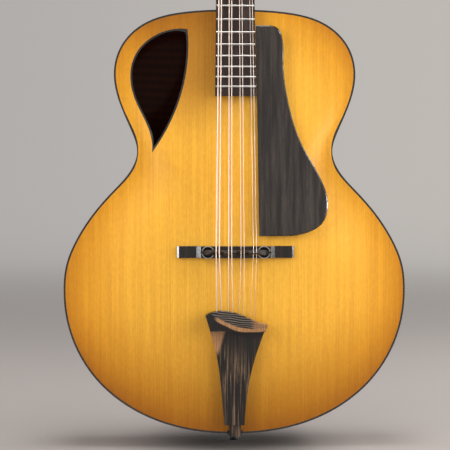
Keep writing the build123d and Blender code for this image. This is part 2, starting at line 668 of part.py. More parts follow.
def build_tailpiece():
    edges = [
        Spline(*TAIL_OUTLINE_LEFT).edge(), Spline(*TAIL_OUTLINE_TOP).edge(),
        Line(TAIL_OUTLINE_TOP[-1], TAIL_OUTLINE_RIGHT[0]).edge(), Spline(*TAIL_OUTLINE_RIGHT).edge(),
        Line(TAIL_OUTLINE_RIGHT[-1], TAIL_OUTLINE_LEFT[0]).edge(),
    ]
    plan = extrude(make_face(edges), 60)
    front = [(0, 15.5), (60, 19.0), (100, 23.6), (118, 24.4), (128.5, 26.6)]
    front = curve(front, (1, 0.05), (1, 0.45))
    scoop = curve([(128.5, 26.6), (130.6, 30.5), (124.5, 36.5)], (0.8, 0.6), (-0.75, 0.65))
    lid = curve([(124.5, 36.5), (137, 38.4), (150, 34.5)], (1, 0.35), (1, -0.6))
    below = [(150, 34.5), (150, 24.5), (34, TAIL_UNDERSIDE), (0, TAIL_UNDERSIDE), (0, 15.5)]
    profile = make_face([front, scoop, lid, *Polyline(*below).edges()])
    profile = extrude(Plane.YZ.offset(-50) * profile, 100)
    body = plan & profile
    tang = block(-TANG_HALF, TANG_HALF, -2.2, 12, TAIL_UNDERSIDE, 13.5)
    body = body + tang
    holes = []
    for index in range(len(STRING_RADII)):
        start, saddle_point = string_points(index)[0:2]
        way = (saddle_point - start).normalized()
        first = start - way * 1.0
        last = start + way * 40
        holes.append(bar(max(STRING_RADII[index] + 0.25, 0.8), tuple(first), tuple(last)))
        x = start.X
        holes.append(bar(BALL_RADIUS + 0.25, (x - 1.8, BALL_Y, BALL_Z), (x + 1.8, BALL_Y, BALL_Z)))
    screws = [bar(1.2, (0, y, STRAP_BOTTOM - 0.8), (0, y, 13)) for y in (14.0, 22.0)]
    save("tailpiece", body - holes - screws)
    heads = [bar(2.2, (0, y, STRAP_BOTTOM - 0.8), (0, y, STRAP_BOTTOM)) for y in (14.0, 22.0)]
    save("tailpiece_screws", *[shank + head for shank, head in zip(screws, heads)])
    leg = block(-STRAP_HALF, STRAP_HALF, -2.2, 27, STRAP_BOTTOM, TAIL_UNDERSIDE)
    drop = block(-STRAP_HALF, STRAP_HALF, -2.2, -0.6, PIN_Z - 9, TAIL_UNDERSIDE)
    strap = leg + drop - screws - bar(PIN_RADIUS, (0, -5, PIN_Z), (0, 5, PIN_Z))
    save("tail_strap", strap)
    saddle_block = block(-9, 9, 0.2, 4.2, PLATE_EDGE, STRAP_BOTTOM)
    save("tail_saddle", saddle_block)


def build_end_pin():
    """A turned pin: a shank in the tail block, a flange on the strap and a round head."""
    flange_end = -3.8
    waist_end = -6.5
    head_end = -14.5
    outline = Polyline(
        (0, 20), (PIN_RADIUS, 20), (PIN_RADIUS, -2.2), (6.2, -2.2), (6.2, flange_end),
        (4.6, waist_end), (PIN_HEAD_RADIUS, waist_end - 1.0), (PIN_HEAD_RADIUS, head_end + 2.0),
        (5.0, head_end), (0, head_end), close=True,
    )
    pin = revolve(make_face(outline), axis=Axis.Y)
    save("end_pin", Pos(0, 0, PIN_Z) * pin)


# ---------------------------------------------------------------- pickguard
GUARD_LEAN = atan2(GUARD_LOW_Z - GUARD_HIGH_Z, GUARD_HIGH_Y - GUARD_LOW_Y) * 180 / pi
GUARD = Pos(0, GUARD_LOW_Y, GUARD_LOW_Z) * Rot(-GUARD_LEAN, 0, 0)
GUARD_CURVE = [
    (40, 247.5), (50, 244), (54.6, 235), (56.3, 203), (61, 163), (78, 107.5), (100.5, 66.5),
    (108.6, 36), (101.5, 14.5), (83, 3.6), (62, 0),
]
GUARD_NEAR_LOW = (27.6, 0)
GUARD_NEAR_HIGH = (23.8, 247.5)
GUARD_POST = (60.0, 275.0)


def build_pickguard():
    rim = curve(GUARD_CURVE, (1, 0), (-1, 0))
    sides = Polyline(GUARD_CURVE[-1], GUARD_NEAR_LOW, GUARD_NEAR_HIGH, GUARD_CURVE[0])
    plate_face = make_face([rim, *sides.edges()])
    guard = GUARD * extrude(plate_face, GUARD_THICKNESS)
    x, y = GUARD_POST
    foot = block(x - 5, x + 5, y - 9, y + 9, 0, 60) - top_blank
    under = GUARD * block(-20, 160, -20, 300, -60, 0)
    foot = max((foot & under).solids(), key=lambda solid: solid.volume)
    save("pickguard", guard)
    save("pickguard_support", foot)


# ---------------------------------------------------------------- tuning machines
GEAR_TEETH = 14
GEAR_PITCH = 2.2
GEAR_RADIUS = GEAR_TEETH * GEAR_PITCH / (2 * pi)
TOOTH_OUT = 0.55
TOOTH_IN = 0.75
TOOTH_SHARE = 0.34            # of the pitch, at the pitch line
WORM_RADIUS = 2.6
WORM_LENGTH = 7.7
WORM_TURNS = 3
CENTRE_DISTANCE = GEAR_RADIUS + WORM_RADIUS
PLATE_THICKNESS = 1.2
PLATE_BACK = -HEAD_THICKNESS - PLATE_THICKNESS
GEAR_MIDDLE = PLATE_BACK - 3.7
GEAR_HALF = 1.1
POST_TOP = 12.0
BUSHING_RADIUS = 4.4
BUSHING_DEPTH = 4.0
SHAFT_RADIUS = 1.5
TAB_IN = 5.0
PLATE_SCREW_YS = (38.0, 56.9, 79.9, 102.9, 131.0)
PLATE_SCREW_RADIUS = 1.1


def gear():
    """A spur gear with straight-sided teeth, and a gap on its +Y side."""
    outer, root = GEAR_RADIUS + TOOTH_OUT, GEAR_RADIUS - TOOTH_IN
    wide = TOOTH_SHARE * GEAR_PITCH / 2 + 0.12
    slim = TOOTH_SHARE * GEAR_PITCH / 2 - 0.14
    corners = [(root - 0.5, -wide), (outer, -slim), (outer, slim), (root - 0.5, wide)]
    tooth = make_face(Polyline(*corners, close=True))
    face = Circle(root)
    for step in range(GEAR_TEETH):
        face += Rot(0, 0, 90 + (step + 0.5) * 360 / GEAR_TEETH) * tooth
    return extrude(Pos(0, 0, GEAR_MIDDLE - GEAR_HALF) * face, 2 * GEAR_HALF)


def worm():
    """A right-handed worm along X, with its thread facing the gear's gap at X = 0."""
    core = bar(WORM_RADIUS - TOOTH_IN, (-WORM_LENGTH / 2, 0, 0), (WORM_LENGTH / 2, 0, 0))
    length = WORM_TURNS * GEAR_PITCH
    path = Helix(GEAR_PITCH, length, WORM_RADIUS)
    wide = TOOTH_SHARE * GEAR_PITCH / 2 + 0.12
    slim = TOOTH_SHARE * GEAR_PITCH / 2 - 0.14
    inner, outer = -TOOTH_IN - 0.25, TOOTH_OUT
    plane = Plane(origin=path @ 0, x_dir=(1, 0, 0), z_dir=path % 0)
    corners = [(inner, -wide), (outer, -slim), (outer, slim), (inner, wide)]
    profile = plane * make_face(Polyline(*corners, close=True))
    thread = sweep(profile, path=path, is_frenet=True)
    thread = Pos(0, 0, -length / 2) * thread
    # Half way along, after one and a half turns, the thread is turned to face -Y.
    return core, Rot(90, 0, 0) * Rot(0, 90, 0) * thread


BUTTON_START = 17.0
BUTTON_LENGTH = 16.0


def button():
    """A paddle-shaped button on the worm's shaft, which turns about X."""
    half = 9.0
    rim = [(0, -3.4), (6, -half), (14, -6.5), (BUTTON_LENGTH, 0), (14, 6.5), (6, half), (0, 3.4)]
    face = make_face([curve(rim, (0.2, -1), (-0.2, -1)), Line((0, 3.4), (0, -3.4)).edge()])
    paddle = extrude(Pos(BUTTON_START, 0, -3.0) * face, 6.0)
    collar = bar(3.2, (BUTTON_START - 2.5, 0, 0), (BUTTON_START, 0, 0))
    shaft = bar(SHAFT_RADIUS, (-TAB_IN - 2.5, 0, 0), (BUTTON_START - 2.5, 0, 0))
    return paddle, collar, shaft


def build_tuners():
    core, thread = worm()
    knob, collar, shaft = button()
    metal = core + thread + shaft + collar
    axle = Pos(0, CENTRE_DISTANCE, GEAR_MIDDLE)
    wheel = gear()
    hub = post(4.0, 0, 0, GEAR_MIDDLE + GEAR_HALF, PLATE_BACK - 0.05)
    shank = post(POST_RADIUS, 0, 0, GEAR_MIDDLE - GEAR_HALF, POST_TOP)
    shank -= bar(0.9, (-5, 0, WRAP_HEIGHT + 2.6), (5, 0, WRAP_HEIGHT + 2.6))
    cap = post(2.2, 0, 0, GEAR_MIDDLE - GEAR_HALF - 1.4, GEAR_MIDDLE - GEAR_HALF)
    cap -= block(-3, 3, -0.3, 0.3, GEAR_MIDDLE - GEAR_HALF - 1.5, GEAR_MIDDLE - GEAR_HALF - 0.8)
    wheel = wheel - post(POST_RADIUS, 0, 0, GEAR_MIDDLE - 3, GEAR_MIDDLE + 3)
    bushings, screws = [], []
    for side, label in ((-1, "bass"), (1, "treble")):
        plate_low, plate_high = POST_YS[0] - 11, POST_YS[-1] + 20
        plate_body = block(-7.5, 7.5, plate_low, plate_high, PLATE_BACK, -HEAD_THICKNESS)
        for number, y in enumerate(POST_YS, 1):
            spot = Pos(side * POST_X, y, 0)
            turn = Rot(0, 180, 0) if side < 0 else Rot(0, 0, 0)
            save(f"tuner_button_{label}_{number}", HEAD * spot * axle * turn * metal,
                 HEAD * spot * axle * turn * knob)
            save(f"tuner_post_{label}_{number}", HEAD * spot * (shank + hub), HEAD * spot * wheel,
                 HEAD * spot * cap)
            bushing = post(BUSHING_RADIUS, 0, 0, -BUSHING_DEPTH, 0) + post(5.4, 0, 0, 0, 1.0)
            bushings.append(HEAD * spot * (bushing - post(POST_RADIUS + RUNNING_GAP, 0, 0, -5, 2)))
            plate_body -= post(POST_RADIUS + 0.3, 0, y, PLATE_BACK - 1, -HEAD_THICKNESS + 1)
            tabs = []
            for edge in (-TAB_IN - 1.2, TAB_IN):
                tab = block(edge, edge + 1.2, y + CENTRE_DISTANCE - 3.0, y + CENTRE_DISTANCE + 3.0,
                            GEAR_MIDDLE - 3.0, PLATE_BACK)
                tabs.append(tab)
            plate_body = plate_body + tabs
            hole_z = GEAR_MIDDLE
            plate_body -= bar(SHAFT_RADIUS + RUNNING_GAP, (-8, y + CENTRE_DISTANCE, hole_z),
                              (8, y + CENTRE_DISTANCE, hole_z))
        shanks = [post(PLATE_SCREW_RADIUS, 0, y, PLATE_BACK, -HEAD_THICKNESS + 7) for y in PLATE_SCREW_YS]
        heads = [post(2.0, 0, y, PLATE_BACK - 1.0, PLATE_BACK) for y in PLATE_SCREW_YS]
        save(f"tuner_plate_{label}", HEAD * Pos(side * POST_X, 0, 0) * (plate_body - shanks))
        screws += [HEAD * Pos(side * POST_X, 0, 0) * (a + b) for a, b in zip(shanks, heads)]
    save("tuner_bushings", *bushings)
    save("tuner_plate_screws", *screws)


build_top()
build_back()
build_rim()
build_inside()
build_tone_bars()
build_fretboard()
build_neck()
build_truss()
build_strings()
build_nut()
build_bridge()
build_tailpiece()
build_end_pin()
build_pickguard()
build_tuners()
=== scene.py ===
import json
import math

import bmesh
import bpy
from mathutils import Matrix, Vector


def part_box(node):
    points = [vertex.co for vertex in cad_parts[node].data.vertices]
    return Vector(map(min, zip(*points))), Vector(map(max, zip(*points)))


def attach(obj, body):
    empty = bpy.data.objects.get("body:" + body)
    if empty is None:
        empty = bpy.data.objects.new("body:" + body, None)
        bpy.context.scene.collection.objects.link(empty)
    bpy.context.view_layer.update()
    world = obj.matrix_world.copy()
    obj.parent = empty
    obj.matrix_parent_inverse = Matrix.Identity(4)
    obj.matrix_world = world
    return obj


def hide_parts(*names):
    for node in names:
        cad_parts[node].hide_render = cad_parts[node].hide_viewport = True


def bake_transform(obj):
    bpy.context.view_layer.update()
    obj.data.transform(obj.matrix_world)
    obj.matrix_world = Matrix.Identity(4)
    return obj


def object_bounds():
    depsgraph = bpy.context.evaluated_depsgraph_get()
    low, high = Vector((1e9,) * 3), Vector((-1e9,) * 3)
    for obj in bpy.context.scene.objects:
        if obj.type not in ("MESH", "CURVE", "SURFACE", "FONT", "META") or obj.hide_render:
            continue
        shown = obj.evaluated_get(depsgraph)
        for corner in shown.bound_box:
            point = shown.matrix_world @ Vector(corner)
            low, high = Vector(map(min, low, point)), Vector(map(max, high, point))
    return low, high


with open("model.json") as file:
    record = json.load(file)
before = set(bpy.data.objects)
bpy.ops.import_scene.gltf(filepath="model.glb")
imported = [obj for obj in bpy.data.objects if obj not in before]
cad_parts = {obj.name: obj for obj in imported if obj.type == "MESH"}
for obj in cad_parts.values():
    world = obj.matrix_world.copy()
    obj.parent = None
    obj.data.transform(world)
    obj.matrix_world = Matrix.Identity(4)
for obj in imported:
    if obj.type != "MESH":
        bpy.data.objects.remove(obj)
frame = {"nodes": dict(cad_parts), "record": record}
cad_low, cad_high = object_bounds()
NODES = frame["nodes"]
ROOT = "instrument"

TOP_LOW, TOP_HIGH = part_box("top_binding")
TAIL_Z = TOP_LOW.z            # the body's tail edge
RIM_Y = TOP_HIGH.y            # the plane where the top meets the ribs
WELD = 2e-6                   # vertices closer than this are one
FLOOR_GAP = 0.002             # the instrument stands this far above the floor


# ------------------------------------------------------------------ material building
class Material:
    """A procedural material. Lengths are metres, in the object's own frame."""

    def __init__(
        self, name, roughness=0.5, metallic=0.0, coat=0.0, coat_roughness=0.08, specular=0.5,
    ):
        self.data = bpy.data.materials.new(name)
        self.data.use_nodes = True
        self.tree = self.data.node_tree
        self.shader = self.tree.nodes["Principled BSDF"]
        self.set("Roughness", roughness)
        self.set("Metallic", metallic)
        self.set("Coat Weight", coat)
        self.set("Coat Roughness", coat_roughness)
        self.set("Specular IOR Level", specular)
        self.place = self.tree.nodes.new("ShaderNodeTexCoord").outputs["Object"]

    def set(self, socket, value):
        self.put(self.shader.inputs[socket], value)

    def put(self, socket, value):
        if isinstance(value, bpy.types.NodeSocket):
            self.tree.links.new(value, socket)
        else:
            if hasattr(value, "__len__") and len(value) == 3 and socket.type == "RGBA":
                value = (*value, 1.0)
            socket.default_value = value

    def add(self, kind, **settings):
        node = self.tree.nodes.new("ShaderNode" + kind)
        for key, value in settings.items():
            setattr(node, key, value)
        return node

    def stretched(self, scale, offset=(0, 0, 0), turn=(0, 0, 0)):
        node = self.add("Mapping")
        self.put(node.inputs["Vector"], self.place)
        node.inputs["Scale"].default_value = scale
        node.inputs["Location"].default_value = offset
        node.inputs["Rotation"].default_value = turn
        return node.outputs["Vector"]

    def noise(self, scale, detail=3.0, roughness=0.55, distortion=0.0, offset=(0, 0, 0)):
        node = self.add("TexNoise")
        self.put(node.inputs["Vector"], self.stretched(scale, offset))
        node.inputs["Scale"].default_value = 1.0
        node.inputs["Detail"].default_value = detail
        node.inputs["Roughness"].default_value = roughness
        node.inputs["Distortion"].default_value = distortion
        return node.outputs["Fac"]

    def wave(self, scale, axis, distortion=0.0, detail=2.0, detail_scale=1.0, turn=(0, 0, 0)):
        node = self.add("TexWave", wave_type="BANDS", bands_direction=axis)
        self.put(node.inputs["Vector"], self.stretched(scale, turn=turn))
        node.inputs["Scale"].default_value = 1.0
        node.inputs["Distortion"].default_value = distortion
        node.inputs["Detail"].default_value = detail
        node.inputs["Detail Scale"].default_value = detail_scale
        return node.outputs["Fac"]

    def ramp(self, factor, stops):
        node = self.add("ValToRGB")
        self.put(node.inputs["Fac"], factor)
        elements = node.color_ramp.elements
        while len(elements) < len(stops):
            elements.new(0.5)
        for element, (position, colour) in zip(elements, stops):
            element.position = position
            element.color = (*colour, 1.0)
        return node.outputs["Color"]

    def level(self, factor, low, high, out_low=0.0, out_high=1.0, smooth=True):
        node = self.add("MapRange", interpolation_type="SMOOTHSTEP" if smooth else "LINEAR")
        for socket, value in zip(node.inputs, (factor, low, high, out_low, out_high)):
            self.put(socket, value)
        return node.outputs["Result"]

    def math(self, operation, a, b=0.0, c=None):
        node = self.add("Math", operation=operation)
        self.put(node.inputs[0], a)
        self.put(node.inputs[1], b)
        if c is not None:
            self.put(node.inputs[2], c)
        return node.outputs["Value"]

    def plus(self, a, b):
        return self.math("ADD", a, b)

    def minus(self, a, b):
        return self.math("SUBTRACT", a, b)

    def times(self, a, b):
        return self.math("MULTIPLY", a, b)

    def length(self, a, b):
        return self.math("SQRT", self.plus(self.times(a, a), self.times(b, b)))

    def uneven(self, scale, detail, size):
        """Noise round zero, about as large as half of size each way."""
        return self.times(self.minus(self.noise(scale, detail=detail), 0.5), size)

    def mix(self, factor, a, b, blend="MIX"):
        node = self.add("Mix", data_type="RGBA", blend_type=blend)
        self.put(node.inputs[0], factor)
        self.put(node.inputs[6], a)
        self.put(node.inputs[7], b)
        return node.outputs[2]

    def axis(self, name):
        if not hasattr(self, "split"):
            self.split = self.add("SeparateXYZ")
            self.put(self.split.inputs[0], self.place)
        return self.split.outputs[name]

    def bump(self, height, distance, strength=1.0):
        node = self.add("Bump")
        node.inputs["Strength"].default_value = strength
        node.inputs["Distance"].default_value = distance
        self.put(node.inputs["Height"], height)
        self.set("Normal", node.outputs["Normal"])

    def egg(self, centre, across, along):
        """0 in the middle of an ellipse on the top, 1 on its edge."""
        x = self.math("DIVIDE", self.axis("X"), across)
        z = self.math("DIVIDE", self.minus(self.axis("Z"), centre), along)
        return self.length(x, z)


def spruce():
    """Stained spruce: amber in the middle, browner at the rim; also darker towards the tail and in a
    patch beside the fretboard.
    """
    m = Material("spruce_top", roughness=0.36, coat=0.12, coat_roughness=0.15, specular=0.28)
    fine = m.noise((1150, 60, 7), detail=3.0, roughness=0.6)
    broad = m.noise((170, 20, 2.2), detail=2.0, offset=(3.1, 0, 0))
    rings = m.wave((225, 30, 0.5), "X", distortion=2.6, detail=2.0, detail_scale=0.35)
    pores = m.noise((2600, 500, 90), detail=2.0)
    mottle = m.noise((420, 200, 170), detail=3.0)
    lower = m.egg(TAIL_Z + 0.190, 0.214, 0.207)
    upper = m.egg(TAIL_Z + 0.385, 0.168, 0.143)
    blotch = m.uneven((9, 9, 7), 2.0, 0.12)
    near = m.plus(m.math("SMOOTH_MIN", lower, upper, 0.2), blotch)
    burst = m.ramp(near, [
        (0.0, (0.90, 0.510, 0.062)),
        (0.60, (0.88, 0.465, 0.046)),
        (0.82, (0.74, 0.345, 0.021)),
        (0.94, (0.56, 0.225, 0.010)),
        (1.0, (0.36, 0.125, 0.006)),
    ])
    height = m.plus(m.axis("Z"), m.times(blotch, 0.3))
    browner = m.mix(1.0, burst, (0.53, 0.44, 0.26), "MULTIPLY")
    burst = m.mix(m.level(height, TAIL_Z - 0.03, TAIL_Z + 0.165), browner, burst)
    # the shaded patch between the sound hole and the fretboard
    x = m.math("DIVIDE", m.plus(m.axis("X"), 0.052), 0.075)
    z = m.math("DIVIDE", m.minus(m.axis("Z"), TAIL_Z + 0.462), 0.105)
    shaded = m.mix(1.0, burst, (0.58, 0.50, 0.46), "MULTIPLY")
    burst = m.mix(m.level(m.length(x, z), 0.35, 1.25), shaded, burst)
    lines = m.mix(m.level(fine, 0.38, 0.68), (0.90, 0.85, 0.76), (1.0, 1.0, 1.0))
    bands = m.mix(m.level(broad, 0.3, 0.7), (0.93, 0.90, 0.86), (1.0, 1.0, 1.0))
    winter = m.mix(m.level(rings, 0.0, 0.35), (0.90, 0.85, 0.78), (1.0, 1.0, 1.0))
    flecks = m.mix(m.level(mottle, 0.32, 0.68), (0.93, 0.91, 0.88), (1.0, 1.0, 1.0))
    colour = burst
    for layer in (lines, bands, winter, flecks):
        colour = m.mix(1.0, colour, layer, "MULTIPLY")
    m.set("Base Color", colour)
    m.set("Roughness", m.level(fine, 0.3, 0.7, 0.42, 0.34))
    m.bump(m.plus(m.times(rings, 0.5), m.times(pores, 0.3)), 0.00004, 0.5)
    return m.data


def maple(name, light, dark, coat=0.6, across="Z", inside=False):
    """Flamed maple: soft bands across the grain, and fine grain along it. Its inside is bare, and painted
    dark as shade inside the closed body.
    """
    m = Material(name, roughness=0.33, coat=coat)
    scale = (9, 9, 34) if across == "Z" else (34, 9, 9)
    flame = m.wave(scale, across, distortion=9.0, detail=3.0, detail_scale=0.22)
    grain = m.noise((900, 900, 16) if across == "X" else (700, 700, 20), detail=3.0)
    patches = m.noise((10, 10, 10), detail=2.0)
    colour = m.mix(m.level(flame, 0.15, 0.85), dark, light)
    greyer = m.mix(1.0, colour, (0.78, 0.74, 0.7), "MULTIPLY")
    colour = m.mix(m.level(grain, 0.35, 0.7), greyer, colour)
    browner = m.mix(1.0, colour, (0.8, 0.74, 0.66), "MULTIPLY")
    colour = m.mix(m.level(patches, 0.3, 0.8), colour, browner)
    if inside:
        facing = m.add("SeparateXYZ")
        m.put(facing.inputs[0], m.add("NewGeometry").outputs["Normal"])
        inside_shade_and_bare = m.level(facing.outputs["Y"], -0.1, -0.4)
        # painted shade: faces looking into the body are darkened as the closed body would shade them, and
        # they are rough like bare wood
        colour = m.mix(inside_shade_and_bare, colour, m.mix(1.0, colour, (0.20, 0.09, 0.07), "MULTIPLY"))
        m.set("Roughness", m.level(inside_shade_and_bare, 0.0, 1.0, 0.33, 0.95))
    else:
        m.set("Roughness", m.level(flame, 0.0, 1.0, 0.38, 0.28))
    m.set("Base Color", colour)
    m.bump(grain, 0.00003, 0.4)
    return m.data


def bare_wood():
    m = Material("inner_wood", roughness=0.75)
    grain = m.noise((420, 420, 12), detail=4.0)
    m.set("Base Color", m.ramp(grain, [(0.3, (0.42, 0.27, 0.13)), (0.7, (0.62, 0.45, 0.25))]))
    m.bump(grain, 0.00015)
    return m.data


def ebony(name, dark, light, grain_share=0.5, roughness=0.36, coat=0.0, specular=0.5):
    m = Material(name, roughness=roughness, coat=coat, specular=specular)
    pores = m.noise((1500, 1500, 26), detail=4.0, roughness=0.7)
    streaks = m.noise((210, 210, 3.5), detail=3.0, roughness=0.6)
    colour = m.mix(m.level(streaks, 0.35, 0.75), dark, light)
    colour = m.mix(m.level(pores, 0.42, 0.62, 0.0, grain_share), colour, (0.005, 0.004, 0.0035))
    m.set("Base Color", colour)
    m.set("Roughness", m.level(pores, 0.3, 0.7, roughness - 0.06, roughness + 0.14))
    m.bump(pores, 0.00006, 0.5)
    return m.data


def tail_ebony():
    """Black wood with brown and grey streaks, a pale band in its lip and a pale patch on one flank."""
    m = Material("tail_ebony", roughness=0.34, specular=0.5)
    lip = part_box("tailpiece")[1].z
    x, z = m.axis("X"), m.axis("Z")
    pores = m.noise((1500, 1500, 30), detail=4.0, roughness=0.7)
    streaks = m.noise((480, 120, 7.0), detail=4.0, roughness=0.62, distortion=0.3)
    fine = m.noise((1300, 260, 18.0), detail=2.0, distortion=0.3)
    swirl = m.wave((45, 40, 130), "Z", distortion=5.0, detail_scale=0.8, turn=(0, -0.30, 0))
    wobble = m.uneven((60, 60, 60), 3.0, 0.004)
    rough_x = m.plus(x, wobble)
    black = (0.006, 0.005, 0.0045)
    brown = m.mix(m.level(fine, 0.3, 0.7), (0.235, 0.145, 0.080), (0.115, 0.080, 0.058))

    # streaks, fading out near the lip and along the left edge
    body = m.level(m.plus(z, m.times(x, 0.4)), lip - 0.036, lip - 0.070)
    edge = m.times(m.minus(z, TAIL_Z + 0.007), -0.095)
    inward = m.minus(m.plus(x, 0.013), edge)
    body = m.times(body, m.level(inward, 0.0015, 0.0055, 0.15, 1.0))
    show = m.times(m.level(streaks, 0.45, 0.62), m.plus(m.times(body, 0.88), 0.12))
    colour = m.mix(show, black, brown)
    colour = m.mix(m.level(fine, 0.52, 0.64, 0.0, 0.8), colour, black)

    # the lip: curling figure above a hollow curve; below it a black band, black wood that is also painted
    # shade under the overhanging lip
    reach = m.minus(x, 0.020)
    curve = m.times(m.times(reach, reach), 7.34)
    above = m.minus(m.minus(z, TAIL_Z + 0.1262), m.plus(curve, wobble))
    figure = m.mix(m.level(swirl, 0.70, 0.97), black, (0.200, 0.160, 0.130))
    colour = m.mix(m.level(above, -0.0105, -0.0095), colour, black)
    colour = m.mix(m.level(above, 0.001, 0.003), colour, figure)

    # sapwood: a band along the curve, widest at the tip, and a patch on the left flank
    over = m.level(above, -0.0030, -0.0016)
    band = m.times(over, m.level(above, 0.0034, 0.0016))
    band = m.times(band, m.level(rough_x, -0.0265, -0.0205))
    tip = m.times(m.level(rough_x, 0.015, 0.026), over)
    band = m.math("MAXIMUM", band, m.times(tip, 0.75))
    slant = 0.25 * (lip - 0.03)
    patch = m.level(m.plus(m.plus(x, m.times(z, -0.25)), wobble), -0.0125 - slant, -0.0165 - slant)
    patch = m.times(patch, m.level(z, lip - 0.056, lip - 0.046))
    patch = m.times(patch, m.level(z, lip - 0.0225, lip - 0.0255))
    sap = m.math("MAXIMUM", band, m.times(patch, 0.85))
    pale = m.mix(m.level(fine, 0.3, 0.7), (0.50, 0.265, 0.115), (0.27, 0.125, 0.048))
    colour = m.mix(sap, colour, pale)
    colour = m.mix(m.level(pores, 0.48, 0.64, 0.0, 0.35), colour, (0.006, 0.004, 0.003))
    m.set("Base Color", colour)
    m.set("Roughness", m.level(pores, 0.3, 0.7, 0.26, 0.46))
    m.bump(m.plus(pores, m.times(streaks, 0.6)), 0.00008, 0.6)
    return m.data


def metal(name, colour, roughness, worn=0.12, scratch=(900, 900, 60)):
    m = Material(name, roughness=roughness, metallic=1.0)
    fog = m.noise((90, 90, 90), detail=3.0)
    lines = m.noise(scratch, detail=3.0)
    dull = tuple(part * 0.62 for part in colour)
    m.set("Base Color", m.mix(m.level(fog, 0.35, 0.75, 0.0, 0.6), colour, dull))
    m.set("Roughness", m.level(lines, 0.3, 0.7, max(0.05, roughness - worn), roughness + worn))
    m.bump(lines, 0.00002, 0.4)
    return m.data


def wound(name, colour, turns):
    """Wire wrapped round a core: fine ridges along the string, with painted shade in the grooves between
    them.
    """
    m = Material(name, roughness=0.40, metallic=0.12)
    ridges = m.wave((1, 1, turns), "Z", distortion=0.0)
    tarnish = m.noise((60, 60, 14), detail=3.0)
    dark = tuple(part * 0.62 for part in colour)
    # painted shade: the winding is darker between its ridges, where the grooves lie in shade
    shade = m.mix(m.level(ridges, 0.0, 0.4), dark, colour)
    m.set("Base Color", m.mix(m.level(tarnish, 0.45, 0.8, 0.0, 0.35), shade, dark))
    m.bump(ridges, 0.00012, 0.8)
    return m.data


def wheel():
    """A blackened wheel with a painted highlight round its rim."""
    m = Material("wheel_metal", roughness=0.32, metallic=1.0)
    rims = []
    for side in ("bass", "treble"):
        low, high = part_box(f"thumbwheel_{side}")
        centre, radius = (low + high) / 2, (high.x - low.x) / 2
        away = m.length(m.minus(m.axis("X"), centre.x), m.minus(m.axis("Z"), centre.z))
        rims.append(m.minus(away, radius))
    nearest = m.math("MINIMUM", *rims)
    smudge = m.noise((600, 600, 600), detail=3.0)
    # painted highlight: a bright ring along the rim, standing in for the side lamps reflected in its
    # rounded edge
    edge = m.level(nearest, -0.0013, -0.0008)
    colour = m.mix(edge, (0.018, 0.018, 0.019), (0.62, 0.61, 0.59))
    duller = m.mix(1.0, colour, (0.6, 0.6, 0.6), "MULTIPLY")
    m.set("Base Color", m.mix(m.level(smudge, 0.4, 0.7, 0.0, 0.5), colour, duller))
    m.set("Roughness", m.level(smudge, 0.3, 0.7, 0.25, 0.42))
    m.bump(smudge, 0.00002, 0.4)
    return m.data


def polished(name, colour, shade, roughness, coat=0.3, speck=(260, 260, 260)):
    m = Material(name, roughness=roughness, coat=coat)
    fog = m.noise((35, 35, 35), detail=3.0)
    grain = m.noise(speck, detail=3.0)
    m.set("Base Color", m.mix(m.level(fog, 0.3, 0.75), colour, shade))
    m.set("Roughness", m.level(grain, 0.3, 0.7, roughness - 0.05, roughness + 0.08))
    m.bump(grain, 0.00002, 0.3)
    return m.data


MATERIALS = {
    "spruce_top": spruce(),
    "maple": maple("flamed_maple", (0.48, 0.205, 0.052), (0.33, 0.125, 0.027)),
    "neck_maple": maple("neck_maple", (0.36, 0.155, 0.045), (0.21, 0.078, 0.018), coat=0.3),
    "inner_wood": bare_wood(),
    "binding": polished(
        "black_binding", (0.012, 0.011, 0.010), (0.022, 0.019, 0.017), 0.22, coat=0.6,
    ),
    "ebony": ebony("ebony", (0.010, 0.008, 0.007), (0.030, 0.022, 0.017)),
    "tail_ebony": tail_ebony(),
    "fret_metal": metal("fret_silver", (0.56, 0.54, 0.51), 0.36, worn=0.06),
    "bone": polished("bone", (0.78, 0.73, 0.60), (0.62, 0.55, 0.41), 0.32),
    "steel": metal("plain_steel", (0.52, 0.52, 0.53), 0.38),
    "brass": metal("brass", (0.72, 0.50, 0.20), 0.30),
    "nickel": metal("nickel", (0.72, 0.69, 0.63), 0.20),
    "wheel_metal": wheel(),
    "wound_string": wound("wound_string", (0.98, 0.80, 0.69), 1150.0),
    "plain_string": wound("plain_string", (0.98, 0.82, 0.70), 3.0),
    "button_nickel": metal("button_nickel", (0.66, 0.63, 0.57), 0.30),
}
GUARD_EBONY = ebony(
    "pickguard_ebony", (0.011, 0.008, 0.007), (0.058, 0.045, 0.037), 0.6, 0.26, coat=0.5,
)
BOARD_EBONY = ebony(
    "fingerboard_ebony", (0.022, 0.013, 0.011), (0.052, 0.032, 0.026), 0.55, 0.5, specular=0.3,
)
BRIDGE_EBONY = ebony(
    "bridge_ebony", (0.006, 0.005, 0.0045), (0.022, 0.013, 0.008), 0.4, 0.20, coat=0.5,
)
SADDLE_EBONY = ebony(
    "saddle_ebony", (0.006, 0.005, 0.0045), (0.060, 0.034, 0.020), 0.5, 0.45, specular=0.25,
)
BACK_MAPLE = maple(
    "back_maple", (0.48, 0.205, 0.052), (0.33, 0.125, 0.027), coat=0.12, inside=True,
)
SPECIAL = {
    "back_plate": BACK_MAPLE,
    "pickguard": GUARD_EBONY,
    "pickguard_support": GUARD_EBONY,
    "fretboard": BOARD_EBONY,
    "bridge_base": BRIDGE_EBONY,
    "bridge_saddle": SADDLE_EBONY,
}
SLOT = {part["node"]: part["material_slot"] for part in frame["record"]["subparts"]}


def material_of(node):
    return SPECIAL.get(node, MATERIALS[SLOT[node]])


def dress(obj, material):
    obj.data.materials.clear()
    obj.data.materials.append(material)


for node, obj in NODES.items():
    dress(obj, material_of(node))


